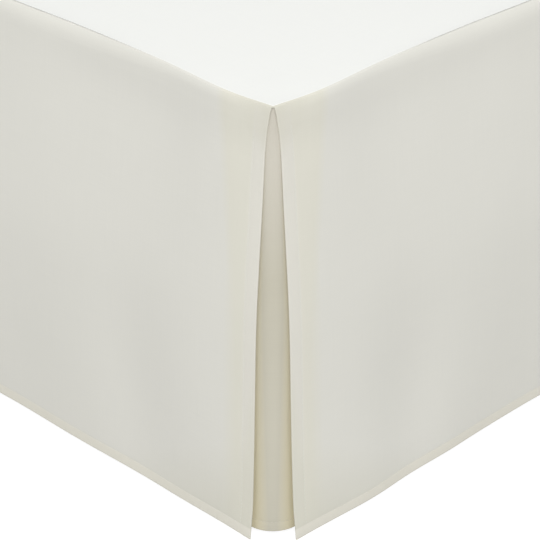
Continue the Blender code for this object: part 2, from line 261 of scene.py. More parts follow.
class SkirtCloth(bpy.types.PropertyGroup):
    thickness: length_property("Thickness", "One layer of cloth", 0.0006)
    hem_thickness: length_property("Hem thickness", "Cloth where it is turned up", 0.0010)
    thread_pitch: length_property("Thread pitch", "From one thread to the next", 0.00045)
    stitch_pitch: length_property("Stitch pitch", "From one stitch to the next", 0.0034)
    stitch_length: length_property("Stitch length", "What shows of one stitch", 0.0026)
    sheer: bpy.props.FloatProperty(
        name="Sheer",
        description="Share of a lamp's light that each face of the drops and underlays lets through",
        default=0.6,
        subtype="FACTOR",
    )
    drop_colour: colour_property("Drop colour", "Ivory cloth of the drops", (0.660, 0.652, 0.600))
    # Painted shade: the drops a little darker and warmer where the underlay lies behind them, for light
    # that passes through the cloth
    backed_shade_colour: colour_property(
        "Backed colour", "The drops where the underlay lies behind them", (0.656, 0.643, 0.563)
    )
    end_colour: colour_property("End colour", "The drops at their turned ends", (0.668, 0.652, 0.588))
    # Painted shade: the drops darker and warmer at their upper corners beside the split
    corner_shade_colour: colour_property("Corner colour", "The drops' upper corners", (0.605, 0.590, 0.510))
    # Painted shade: the drops darker at their lower corners beside the split
    low_shade_colour: colour_property("Low colour", "The drops' lower corners", (0.605, 0.593, 0.512))
    hem_colour: colour_property("Hem colour", "The drops at their turned hem", (0.675, 0.655, 0.577))
    # The underlays' cloth with painted shade of the split: darker and more ochre than the drops
    underlay_shaded_colour: colour_property("Underlay colour", "Top of the underlays", (0.545, 0.518, 0.448))
    # Painted shade, deepest halfway down the underlays
    underlay_middle_shade_colour: colour_property(
        "Underlay middle colour", "The underlays halfway down", (0.487, 0.463, 0.380)
    )
    # Painted shade, a little lighter again towards the hem
    underlay_low_shade_colour: colour_property(
        "Underlay low colour", "The underlays towards the hem", (0.530, 0.508, 0.425)
    )
    # Painted light: the underlays lighter and yellower on their flanks behind the drops, for light that
    # bounces between and passes through the cloth
    tucked_light_colour: colour_property("Tucked colour", "The underlays behind the drops", (0.78, 0.71, 0.50))
    deck_colour: colour_property("Deck colour", "White cloth under the mattress", (0.741, 0.748, 0.724))


class BedBase(bpy.types.PropertyGroup):
    cover_colour: colour_property("Cover colour", "Woven cover of the box base", (0.58, 0.56, 0.52))
    underside_colour: colour_property(
        "Underside colour", "Dust cover under the box base", (0.05, 0.05, 0.055)
    )
    piping_radius: length_property("Piping radius", "The cord sewn in round the rims", 0.0032)
    wood_colour: colour_property("Wood colour", "Stain of the legs", (0.11, 0.055, 0.028))
    grain_colour: colour_property("Grain colour", "The darker grain of the legs", (0.045, 0.022, 0.012))
    glide_height: length_property("Glide height", "The plastic disc under a leg", 0.004)


class Studio(bpy.types.PropertyGroup):
    floor_colour: colour_property("Floor colour", "Plain pale floor", (0.35, 0.35, 0.352))
    floor_glow: bpy.props.FloatProperty(
        name="Floor glow", description="What lifts the floor to white", default=0.85
    )
    ambient: bpy.props.FloatProperty(name="Ambient", description="Light from all round", default=0.872)
    front_power: bpy.props.FloatProperty(
        name="Front light",
        description="Power of the soft light towards the corner",
        default=173.0,
        unit="POWER",
    )


# Small helpers


def smooth_step(share):
    share = min(max(share, 0.0), 1.0)
    return share * share * (3.0 - 2.0 * share)


def bell(distance, half_width):
    return math.exp(-((distance / half_width) ** 2))


def mixed(first, last, share):
    return first + (last - first) * share


def verts_of(made):
    """The vertices in what a bmesh operator gives back."""
    return [item for item in made if isinstance(item, bmesh.types.BMVert)]


def edges_of(made):
    return [item for item in made if isinstance(item, bmesh.types.BMEdge)]


def new_object(name, mesh_source, *materials):
    """Makes an object of a bmesh, which is freed."""
    mesh = bpy.data.meshes.new(name)
    mesh_source.to_mesh(mesh)
    mesh_source.free()
    for material in materials:
        mesh.materials.append(material)
    made = bpy.data.objects.new(name, mesh)
    bpy.context.scene.collection.objects.link(made)
    return made


def bevel(mesh_source, edges, radius, segments):
    bmesh.ops.bevel(
        mesh_source,
        geom=edges,
        offset=radius,
        affect="EDGES",
        segments=segments,
        profile=0.5,
        material=-1,
    )


# The shape of the cloth


def eased_min(value, limit, soft):
    """The lesser of the two, with a soft turn from one to the other."""
    over = min(max(value - limit + soft, 0.0), 2.0 * soft)
    return min(value, limit + soft) - over * over / (4.0 * soft)


def seam_out(corner):
    """How far the seam stands outside its straight line, at a distance from a split corner."""
    drawn_in = SEAM_IN * bell(corner - SEAM_IN_PLACE, SEAM_IN_WIDTH)
    return SEAM_OUT * bell(corner - SEAM_OUT_PLACE, SEAM_OUT_WIDTH) - drawn_in


def seam_sag(corner):
    """1 at a split corner and 0 where the seam lies level with the deck."""
    return (1.0 - smooth_step(corner / SEAM_SINK_RUN)) * (1.0 - TIP_LIFT * bell(corner, TIP_LIFT_RUN))


def fold_out(folds, along, drop):
    """How far the folds stand out at a distance from the split corner and a drop below the seam."""
    return sum(
        fold.out * bell(along - fold.along, fold.half_width) * bell(drop - fold.drop, fold.half_drop)
        for fold in folds
    )


Drop = namedtuple("Drop", "name length splits folds seed matrix")
# A level is a share of the lip (below 0) or of the roll. Below the roll, fallen is the drop under the seam.
Level = namedtuple("Level", "rolled fallen")


def from_split(drop, along):
    """How far a place along a drop's seam is from its nearer split end."""
    ends = (along if drop.splits[0] else NO_SPLIT, drop.length - along if drop.splits[1] else NO_SPLIT)
    return min(ends)


def from_end(drop, along):
    return min(along, drop.length - along)


def drop_point(drop, along, level):
    """A point of a drop's outer face: x along the seam, -y outward and -z down."""
    rolled, fallen = level
    corner = from_split(drop, along)
    away = smooth_step(corner / ROLL_GROWS)
    tilt = SEAM_TILT * seam_sag(corner)
    roll = mixed(ROLL_AT_SPLIT, ROLL_AWAY, away * away)
    leaning = mixed(LEAN_AT_SPLIT, LEAN_AWAY, away * away)
    leaning *= 1.0 - TIP_LEAN * bell(corner, TIP_LEAN_RUN)
    lip = LIP * min(rolled + 1.0, 1.0)
    turned = 1.0 - (1.0 - max(rolled, 0.0)) ** 3
    out = seam_out(corner) + lip * math.cos(tilt) + leaning * roll / 3.0 * turned
    rise = SEAM_RISE * (1.0 - SEAM_STEP * smooth_step((corner - SEAM_STEP_PLACE) / SEAM_STEP_RUN))
    sunk = SEAM_SINK * seam_sag(corner) + lip * math.sin(tilt) - rise * (1.0 - lip / LIP) ** 2
    height = sunk + roll * max(rolled, 0.0) if fallen is None else fallen
    share = (height - sunk) / (DROP - sunk)
    flare = (share + KNEE_FLARE * eased_min(share, KNEE, KNEE_SOFT)) / (1.0 + KNEE_FLARE * KNEE)
    out += (mixed(HEM_OUT_AT_SPLIT, HEM_OUT, away) - out) * flare
    lean = APEX_LEAN * (1.0 - smooth_step(corner / APEX_RUN))
    lean *= (1.0 - min(height / APEX_HEIGHT, 1.0)) ** 2
    x = along - lean if along < drop.length / 2 else along + lean
    if fallen is None:
        return x, -out, -height
    loose = smooth_step(fallen / (2 * FALL_TOP))
    out += fold_out(drop.folds, corner, fallen) * loose
    out += TIP_KICK * bell(corner, TIP_WIDTH) * bell(DROP - fallen, TIP_HEIGHT)
    out += RIPPLE * loose * noise.noise((along * RIPPLES_ALONG, fallen * RIPPLES_DOWN, drop.seed))
    out -= STITCH_DIP * bell(fallen - HEM_STITCHES, STITCH_DIP_WIDTH)
    out -= STITCH_DIP * loose * bell(from_end(drop, along) - END_STITCHES, STITCH_DIP_WIDTH)
    return x, -out, -fallen


def quarter_turn(station):
    """The angle that an underlay has turned through at a station."""
    return min(max(station, 0.0), 1.0) * math.pi / 2


def underlay_point(station, fallen):
    """A point of an underlay's outer face, from the corner of the seam: the foot side runs to -x."""
    drops, outs, rounds = zip(*UNDERLAY_LEVELS)
    out = np.interp(fallen, drops, outs) - STITCH_DIP * bell(fallen - HEM_STITCHES, STITCH_DIP_WIDTH)
    radius = np.interp(fallen, drops, rounds)
    turned = quarter_turn(station)
    straight = UNDERLAY_REACH + out - radius
    x = out - radius + radius * math.sin(turned) + min(station, 0.0) * straight
    y = radius - out - radius * math.cos(turned) + max(station - 1.0, 0.0) * straight
    return x, y, -fallen


def underlay_facing(station):
    turned = quarter_turn(station)
    return Vector((math.sin(turned), -math.cos(turned), 0.0))


def deck_point(across, back):
    """A point of the deck's top, from the foot's middle: back is the distance from the foot seam."""
    beside = HALF_WIDTH - abs(across)
    foot_curl = max(1.0 - back / DECK_CURL, 0.0) ** 2
    side_curl = max(1.0 - beside / DECK_CURL, 0.0) ** 2
    x = abs(across) + (seam_out(back) - mixed(*SEAM_GAP, 1.0 - seam_sag(back))) * side_curl
    y = back - (seam_out(beside) - mixed(*SEAM_GAP, 1.0 - seam_sag(beside))) * foot_curl
    sunk = SEAM_SINK * max(seam_sag(back) * side_curl, seam_sag(beside) * foot_curl)
    sunk -= SEAM_RISE * math.exp(-min(back, beside) / SEAM_RISE_RUN)
    sunk += DECK_STITCH_DIP * bell(BED_LENGTH - back - HEM, STITCH_DIP_WIDTH)
    return math.copysign(x, across), y, -sunk


def sheet(name, columns, rows, place, measure, matrix, material, in_hem):
    """A sheet of cloth: a grid set out by place, its thickness behind its outer face.

    measure gives the places of a point on the CUT and EDGES maps.
    """
    cloth = bpy.context.scene.skirt_cloth
    mesh_source = bmesh.new()
    bmesh.ops.create_grid(mesh_source, x_segments=len(columns) - 1, y_segments=len(rows) - 1, size=0.5)
    measures = {}
    hems = []
    for vertex in mesh_source.verts:
        column = columns[round((vertex.co.x + 0.5) * (len(columns) - 1))]
        row = rows[round((0.5 - vertex.co.y) * (len(rows) - 1))]
        vertex.co = place(column, row)
        measures[vertex] = measure(column, row)
        if in_hem(column, row):
            hems.append(vertex.index)
    maps = [mesh_source.loops.layers.uv.new(map_name) for map_name in (CUT, EDGES)]
    for face in mesh_source.faces:
        for loop in face.loops:
            for layer, place_on_map in zip(maps, measures[loop.vert]):
                loop[layer].uv = place_on_map
    made = new_object(name, mesh_source, material)
    made.data.transform(matrix)
    if matrix.determinant() < 0:
        made.data.flip_normals()
    made.data.shade_smooth()
    made.vertex_groups.new(name="hem").add(hems, 1.0, "REPLACE")
    wall = made.modifiers.new("thickness", "SOLIDIFY")
    wall.offset = -1.0
    wall.thickness = cloth.hem_thickness
    wall.vertex_group = "hem"
    wall.thickness_vertex_group = cloth.thickness / cloth.hem_thickness
    edge = made.modifiers.new("turned edge", "BEVEL")
    edge.width = cloth.thickness * EDGE_ROUND
    edge.segments = 2
    edge.limit_method = "ANGLE"
    edge.angle_limit = math.radians(60)
    return made


def all_drops():
    """The drops, each with its seam's length, whether its ends are split, and where it starts."""
    foot_run = BED_WIDTH - 2 * PIECE_GAP
    side_run = BED_LENGTH - PIECE_GAP
    side_folds = CORNER_FOLDS + SIDE_HEM_FOLDS + RUN_FOLDS
    left_turn, right_turn = (Matrix.Rotation(turn, 4, "Z") for turn in (-math.pi / 2, math.pi / 2))
    to_foot = Matrix.Translation((PIECE_GAP - HALF_WIDTH, FOOT_Y, SEAM_HEIGHT))
    to_left = Matrix.Translation((-HALF_WIDTH, HEAD_Y, SEAM_HEIGHT)) @ left_turn
    to_right = Matrix.Translation((HALF_WIDTH, FOOT_Y + PIECE_GAP, SEAM_HEIGHT)) @ right_turn
    return (
        Drop("drop_foot", foot_run, (True, True), CORNER_FOLDS + RUN_FOLDS[:4], 1.7, to_foot),
        Drop("drop_left", side_run, (False, True), side_folds, 4.3, to_left),
        Drop("drop_right", side_run, (True, False), side_folds, 8.9, to_right),
    )


def drop_stations(length):
    """Places of the columns along a drop, closest together over its turned ends."""
    ends = np.array([*END_STATIONS, *np.arange(0.024, NEAR_END, 0.008)])
    start, stop = ends[-1], length - ends[-1]
    middle = np.linspace(start, stop, 1 + round((stop - start) / MIDDLE_STEP))
    return np.unique(np.round(np.concatenate([ends, middle, length - ends]), 6))


def fall_levels(top, count):
    """Places of the rows down a hanging sheet, closest together over its hem."""
    return [*np.linspace(top, ABOVE_HEM, count), *(HEM_TOP + step for step in HEM_STEPS), DROP]


def drop_levels():
    fall = [Level(1.0, fallen) for fallen in fall_levels(FALL_TOP, 38)]
    return [Level(rolled, None) for rolled in ROLL_STEPS] + fall


def copies_in_a_row(mesh_source, count):
    """Doubles what is in the bmesh until there are count copies of it, 1 apart along x."""
    made = 1
    while made < count:
        whole = [*mesh_source.verts, *mesh_source.edges, *mesh_source.faces]
        copied = bmesh.ops.duplicate(mesh_source, geom=whole)["geom"]
        bmesh.ops.translate(mesh_source, vec=(made, 0, 0), verts=verts_of(copied))
        made *= 2
    spare = [vertex for vertex in mesh_source.verts if vertex.co.x > count - 0.5]
    bmesh.ops.delete(mesh_source, geom=spare, context="VERTS")


def stitch_places(points, outs, pitch):
    """Turned and moved axes for each stitch of a row along points."""
    places = []
    walked = 0.0
    due = pitch / 2
    for start, stop, out in zip(points, points[1:], outs):
        run = stop - start
        while due <= walked + run.length:
            x = run.normalized()
            z = (out - x * out.dot(x)).normalized()
            turn = Matrix((x, z.cross(x), z)).transposed().to_4x4()
            places.append(Matrix.Translation(start + run * ((due - walked) / run.length)) @ turn)
            due += pitch
        walked += run.length
    return places


def thread_line(name, points, outs, material):
    """A row of stitches along points, each standing out a little in its outs direction."""
    cloth = bpy.context.scene.skirt_cloth
    places = stitch_places(points, outs, cloth.stitch_pitch)
    half_width = cloth.stitch_length / 10
    height = 1.4 * half_width
    shape = Matrix.Diagonal((cloth.stitch_length, 2 * half_width, height, 1.0))
    lifted = Matrix.Translation((0.0, 0.0, half_width / 10)) @ shape
    mesh_source = bmesh.new()
    turn = Matrix.Rotation(math.pi / 2, 4, "Y")
    bmesh.ops.create_uvsphere(mesh_source, u_segments=6, v_segments=4, radius=0.45, matrix=turn)
    copies_in_a_row(mesh_source, len(places))
    for vertex in mesh_source.verts:
        count = round(vertex.co.x)
        vertex.co = places[count] @ lifted @ (vertex.co - Vector((count, 0.0, 0.0)))
    made = new_object(name, mesh_source, material)
    made.data.shade_smooth()
    return made


# Materials


def feed(tree, node, inputs):
    """Feeds a node's inputs, by name or number, each with a constant or another node's output."""
    for name, value in inputs.items():
        socket = node.inputs[name]
        if isinstance(value, bpy.types.NodeSocket):
            tree.links.new(value, socket)
        else:
            socket.default_value = value


def new_node(tree, kind, inputs, **settings):
    node = tree.nodes.new(kind)
    for name, value in settings.items():
        setattr(node, name, value)
    feed(tree, node, inputs)
    return node


def math_node(tree, operation, *values, clamp=False):
    inputs = dict(enumerate(values))
    return new_node(tree, "ShaderNodeMath", inputs, operation=operation, use_clamp=clamp).outputs[0]


def noise_node(tree, vector, scale, detail=2.0, roughness=0.5):
    inputs = {"Vector": vector, "Scale": scale, "Detail": detail, "Roughness": roughness}
    return new_node(tree, "ShaderNodeTexNoise", inputs).outputs["Fac"]


def scaled(tree, vector, scale):
    return new_node(tree, "ShaderNodeVectorMath", {0: vector, 1: scale}, operation="MULTIPLY").outputs[0]


def toned(tree, colour, tone):
    """A colour, constant or socket, made darker or lighter by a tone near 1."""
    inputs = {0: colour, "Scale": tone}
    return new_node(tree, "ShaderNodeVectorMath", inputs, operation="SCALE").outputs[0]


def colour_mix(tree, mask, first, last):
    """Mixes two colours, each a constant or a socket, by a mask."""
    first, last = (
        value if isinstance(value, bpy.types.NodeSocket) else (*value, 1.0) for value in (first, last)
    )
    inputs = {"Factor": mask, 6: first, 7: last}
    return new_node(tree, "ShaderNodeMix", inputs, data_type="RGBA").outputs[2]


def bump_node(tree, height, distance, strength=1.0, normal=None):
    """The normal of a bumpy surface, on top of another such normal where one is given."""
    inputs = {"Height": height, "Distance": distance, "Strength": strength}
    if normal is not None:
        inputs["Normal"] = normal
    return new_node(tree, "ShaderNodeBump", inputs).outputs[0]


def object_place(tree):
    return tree.nodes.new("ShaderNodeTexCoord").outputs["Object"]


def new_group(name, **inputs):
    """A shader group and its inputs: a vector where the default is None, and otherwise a float."""
    tree = bpy.data.node_groups.new(name, "ShaderNodeTree")
    for socket, default in inputs.items():
        kind = "NodeSocketVector" if default is None else "NodeSocketFloat"
        made = tree.interface.new_socket(name=socket, in_out="INPUT", socket_type=kind)
        if default is not None:
            made.default_value = default
    return tree, tree.nodes.new("NodeGroupInput").outputs


def end_group(tree, **outputs):
    """Gives a shader group its float outputs."""
    for name in outputs:
        tree.interface.new_socket(name=name, in_out="OUTPUT", socket_type="NodeSocketFloat")
    feed(tree, tree.nodes.new("NodeGroupOutput"), outputs)
    return tree


def plain_weave_group(name):
    """Threads over and under each other, uneven as spun yarn is: a height and a tone near 1."""
    tree, given = new_group(name, Vector=None, Pitch=0.00045, Slub=0.3)
    split = new_node(tree, "ShaderNodeSeparateXYZ", {0: given["Vector"]})
    waves = []
    for axis in (0, 1):
        threads = math_node(tree, "DIVIDE", split.outputs[axis], given["Pitch"])
        waves.append(math_node(tree, "SINE", math_node(tree, "MULTIPLY", threads, math.pi)))
    height = math_node(tree, "MULTIPLY_ADD", math_node(tree, "MULTIPLY", *waves), 0.5, 0.5)
    across, along = 1400.0, 16.0  # how often a yarn's thickness changes, for each metre
    warp = noise_node(tree, scaled(tree, given["Vector"], (across, along, 0.0)), 1.0)
    weft = noise_node(tree, scaled(tree, given["Vector"], (along, across, 0.0)), 1.0)
    yarn = math_node(tree, "SUBTRACT", math_node(tree, "ADD", warp, weft), 1.0)
    slub = math_node(tree, "MULTIPLY", yarn, given["Slub"])
    shade = math_node(tree, "MULTIPLY_ADD", slub, 0.30, 1.0 - 0.015)
    # The tone is up to 3 % lighter on the threads' crests, painted shade of the weave's relief; the rest of
    # it is the yarn's random unevenness
    return end_group(
        tree,
        Height=math_node(tree, "ADD", height, slub),
        Tone=math_node(tree, "MULTIPLY_ADD", height, 0.03, shade),
    )


def handled_cloth_group(name):
    """Slight clouding and soft creasing of cloth that has been folded, pressed and handled."""
    tree, given = new_group(name, Vector=None, Clouding=0.02)
    broad = noise_node(tree, given["Vector"], scale=7.0, detail=3.0)
    close = noise_node(tree, given["Vector"], scale=60.0, detail=4.0, roughness=0.6)
    both = math_node(tree, "SUBTRACT", math_node(tree, "MULTIPLY_ADD", close, 0.5, broad), 0.75)
    return end_group(
        tree,
        Height=noise_node(tree, given["Vector"], scale=26.0, detail=3.0, roughness=0.55),
        Tone=math_node(tree, "MULTIPLY_ADD", both, given["Clouding"], 1.0),
    )


def edge_strip_group(name):
    """1 within Width of an edge and 0 beyond it, over a soft step."""
    tree, given = new_group(name, Distance=1.0, Width=0.01, Soft=0.001)
    inside = math_node(tree, "SUBTRACT", given["Width"], given["Distance"])
    share = math_node(tree, "DIVIDE", inside, given["Soft"])
    return end_group(tree, Mask=math_node(tree, "ADD", share, 0.5, clamp=True))


def wood_grain_group(name):
    """Long rings with fine pores, as a mask of the darker wood."""
    tree, given = new_group(name, Vector=None)
    inputs = {
        "Vector": scaled(tree, given["Vector"], (1.0, 1.0, 0.09)),
        "Scale": 42.0,
        "Distortion": 5.0,
        "Detail": 3.0,
        "Detail Scale": 1.2,
    }
    rings = new_node(tree, "ShaderNodeTexWave", inputs, wave_type="BANDS", bands_direction="X")
    pores = noise_node(tree, scaled(tree, given["Vector"], (1.0, 1.0, 0.04)), scale=900.0)
    fine = math_node(tree, "MULTIPLY", pores, 0.5)
    mask = math_node(tree, "MULTIPLY_ADD", rings.outputs["Fac"], 0.7, fine, clamp=True)
    return end_group(tree, Mask=mask, Pores=pores)


def group_node(tree, name, make, **inputs):
    """The outputs of a shader group, which is made where there is none yet."""
    group = bpy.data.node_groups.get(name) or make(name)
    return new_node(tree, "ShaderNodeGroup", inputs, node_tree=group).outputs


def new_material(name, **finish):
    """A material, its tree and its shader, with constants of its finish."""
    material = bpy.data.materials.new(name)
    material.use_nodes = True
    tree = material.node_tree
    shader = tree.nodes["Principled BSDF"]
    feed(tree, shader, {socket.replace("_", " "): value for socket, value in finish.items()})
    return material, tree, shader


def weave(tree, shader, place, colour, pitch, slub, clouding, thread_depth, crease):
    """Gives a shader the colour and bumps of woven cloth. crease is a depth and a strength."""
    woven = group_node(tree, "plain weave", plain_weave_group, Vector=place, Pitch=pitch, Slub=slub)
    handled = group_node(
        tree, "handled cloth", handled_cloth_group, Vector=object_place(tree), Clouding=clouding
    )
    tone = math_node(tree, "MULTIPLY", woven["Tone"], handled["Tone"])
    creased = bump_node(tree, handled["Height"], *crease)
    bumps = bump_node(tree, woven["Height"], thread_depth, normal=creased)
    feed(tree, shader, {"Base Color": toned(tree, colour, tone), "Normal": bumps})


def cloth_material(name, colour, strips=(), sheer=0.0, slub=0.10, clouding=0.012):
    """Fine woven cloth with strips of other tints, among them painted shade and painted light.

    sheer is the share of a lamp's light that each of the cloth's two faces lets through.
    """
    cloth = bpy.context.scene.skirt_cloth
    material, tree, shader = new_material(
        name, Roughness=0.92, Specular_IOR_Level=0.2, Sheen_Weight=0.08, Sheen_Roughness=0.5
    )
    if strips:
        edges = tree.nodes.new("ShaderNodeUVMap")
        edges.uv_map = EDGES
        split = new_node(tree, "ShaderNodeSeparateXYZ", {0: edges.outputs[0]}).outputs
    for strip in strips:
        slanted = math_node(tree, "MULTIPLY_ADD", split[1 - strip.axis], -strip.slant, split[strip.axis])
        mask = group_node(
            tree, "edge strip", edge_strip_group, Distance=slanted, Width=strip.width, Soft=strip.soft
        )["Mask"]
        colour = colour_mix(tree, mask, colour, getattr(cloth, strip.colour))
    cut = tree.nodes.new("ShaderNodeUVMap")
    cut.uv_map = CUT
    pitch = cloth.thread_pitch
    weave(tree, shader, cut.outputs[0], colour, pitch, slub, clouding, THREAD_DEPTH, (0.0006, 0.5))
    if sheer:
        in_shadow = tree.nodes.new("ShaderNodeLightPath").outputs["Is Shadow Ray"]
        through = tree.nodes.new("ShaderNodeBsdfTransparent").outputs[0]
        inputs = {"Fac": math_node(tree, "MULTIPLY", in_shadow, sheer), 1: shader.outputs[0], 2: through}
        mixer = new_node(tree, "ShaderNodeMixShader", inputs)
        feed(tree, tree.nodes["Material Output"], {"Surface": mixer.outputs[0]})
    return material


def thread_material(name, colour):
    """Twisted sewing thread."""
    material, tree, shader = new_material(name, Roughness=0.6, Sheen_Weight=0.1)
    twist = noise_node(tree, object_place(tree), scale=2400.0, detail=1.0)
    tone = math_node(tree, "MULTIPLY_ADD", twist, 0.16, 0.92)
    bumps = bump_node(tree, twist, THREAD_DEPTH)
    feed(tree, shader, {"Base Color": toned(tree, colour, tone), "Normal": bumps})
    return material


# Operators


def stand_in(piece, node, slot, **sheet_facts):
    """Hands a finished piece to the frame in place of its node."""
    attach(piece, "root")
    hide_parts(node)


def trim(piece):
    """Hands a finished piece that stands for no node to the frame."""
    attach(piece, "root")


class BEDSKIRT_OT_deck(bpy.types.Operator):
    """Lays the white deck on the base"""

    bl_idname = "bed_skirt.deck"
    bl_label = "Deck"

    def execute(self, context):
        colour = tuple(context.scene.skirt_cloth.deck_colour)
        material = cloth_material("deck cloth", colour, slub=0.08, clouding=0.006)
        thread = thread_material("deck thread", colour)
        near = [*DECK_EDGE_STEPS, *np.arange(0.034, SEAM_SINK_RUN, 0.010)]
        beside = [*near, *np.arange(DECK_FAR, HALF_WIDTH, DECK_STEP), HALF_WIDTH]
        across = [place - HALF_WIDTH for place in beside] + [HALF_WIDTH - place for place in beside[:-1]]
        head = BED_LENGTH - np.array(DECK_HEAD_STEPS)
        back = [*near, *np.linspace(DECK_FAR, BED_LENGTH - 2 * DECK_STEP, 60), *head]

        def measure(across_at, back_at):
            return (across_at, back_at), (HALF_WIDTH - abs(across_at), BED_LENGTH - back_at)

        def in_hem(_across, back_at):
            return back_at > BED_LENGTH - HEM

        matrix = Matrix.Translation((0.0, FOOT_Y, SEAM_HEIGHT))
        columns, rows = sorted(across), sorted(back, reverse=True)
        deck = sheet("deck_panel", columns, rows, deck_point, measure, matrix, material, in_hem)
        reach = HALF_WIDTH - 0.004
        line = [matrix @ Vector(deck_point(x, BED_LENGTH - HEM)) for x in np.linspace(-reach, reach, 40)]
        stitches = thread_line("deck_stitches", line, [Vector((0, 0, 1))] * len(line), thread)
        trim(stitches)
        stand_in(
            deck,
            "deck",
            "deck_cloth",
            flat=DECK_CUT,
            held="laid",
            rests_on=["base_box"],
            with_pieces=[stitches],
        )
        return {"FINISHED"}


class BEDSKIRT_OT_drops(bpy.types.Operator):
    """Hangs the three drops from the seam, with their hems and stitches"""

    bl_idname = "bed_skirt.drops"
    bl_label = "Drops"

    def execute(self, context):
        cloth = context.scene.skirt_cloth
        colour = tuple(cloth.drop_colour)
        material = cloth_material("ivory cotton", colour, DROP_STRIPS, cloth.sheer)
        thread = thread_material("ivory thread", colour)
        for drop in all_drops():
            self.hang(drop, material, thread)
        return {"FINISHED"}

    def hang(self, drop, material, thread):
        def place(along, level):
            return drop_point(drop, along, level)

        def measure(along, level):
            down = (level.rolled + 1.0) / 2 * FALL_TOP if level.fallen is None else level.fallen
            return (along, -down), (from_split(drop, along), DROP - down)

        def in_hem(along, level):
            return from_end(drop, along) <= END_HEM or (level.fallen or 0.0) > HEM_TOP

        columns = drop_stations(drop.length)
        name = drop.name + "_cloth"
        piece = sheet(name, columns, drop_levels(), place, measure, drop.matrix, material, in_hem)
        out = drop.matrix.to_3x3() @ Vector((0.0, -1.0, 0.0))
        ends = (END_STITCHES, drop.length - END_STITCHES)
        hem = [place(along, Level(1.0, HEM_STITCHES)) for along in np.arange(*ends, 0.006)]
        down = [Level(1.0, fallen) for fallen in np.linspace(END_STITCHES_TOP, HEM_TOP, 50)]
        lines = [hem, *([place(end, level) for level in down] for end in ends)]
        stitches = []
        for count, line in enumerate(lines):
            points = [drop.matrix @ Vector(point) for point in line]
            made = thread_line(f"{drop.name}_stitches_{count + 1}", points, [out] * len(points), thread)
            trim(made)
            stitches.append(made)
        stand_in(
            piece,
            drop.name,
            "skirt_cloth",
            flat=(drop.length + 2 * END_HEM, DROP + SEAM_ALLOWANCE + 2 * HEM),
            held="hung",
            rests_on=["deck_panel"],
            with_pieces=stitches,
        )


class BEDSKIRT_OT_underlays(bpy.types.Operator):
    """Hangs the short underlays behind the split corners"""

    bl_idname = "bed_skirt.underlays"
    bl_label = "Underlays"

    def execute(self, context):
        cloth = context.scene.skirt_cloth
        colour = tuple(cloth.underlay_shaded_colour)
        material = cloth_material("underlay cotton", colour, UNDERLAY_STRIPS, cloth.sheer)
        thread = thread_material("underlay thread", colour)
        for name, side in (("underlay_left", -1), ("underlay_right", 1)):
            self.hang(name, side, material, thread)
        return {"FINISHED"}

    def hang(self, name, side, material, thread):
        def measure(station, fallen):
            return (station * STATION_RUN, -fallen), (min(station + 1.0, 2.0 - station), DROP - fallen)

        def in_hem(_station, fallen):
            return fallen > HEM_TOP

        columns = [*np.linspace(-1, 0, 9)[:-1], *np.linspace(0, 1, 25)[:-1], *np.linspace(1, 2, 9)]
        rows = fall_levels(UNDERLAY_LEVELS[0].drop, 40)
        mirrored = Matrix.Diagonal((side, 1, 1, 1))
        matrix = Matrix.Translation((side * HALF_WIDTH, FOOT_Y, SEAM_HEIGHT)) @ mirrored
        piece = sheet(name + "_cloth", columns, rows, underlay_point, measure, matrix, material, in_hem)
        line = np.linspace(-1, 2, 60)
        points = [matrix @ Vector(underlay_point(station, HEM_STITCHES)) for station in line]
        outs = [matrix.to_3x3() @ underlay_facing(station) for station in line]
        stitches = thread_line(name + "_stitches", points, outs, thread)
        trim(stitches)
        stand_in(
            piece,
            name,
            "skirt_cloth",
            flat=(2 * (UNDERLAY_REACH + UNDERLAY_END), DROP + 2 * HEM),
            held="hung",
            rests_on=["deck_panel"],
            with_pieces=[stitches],
        )


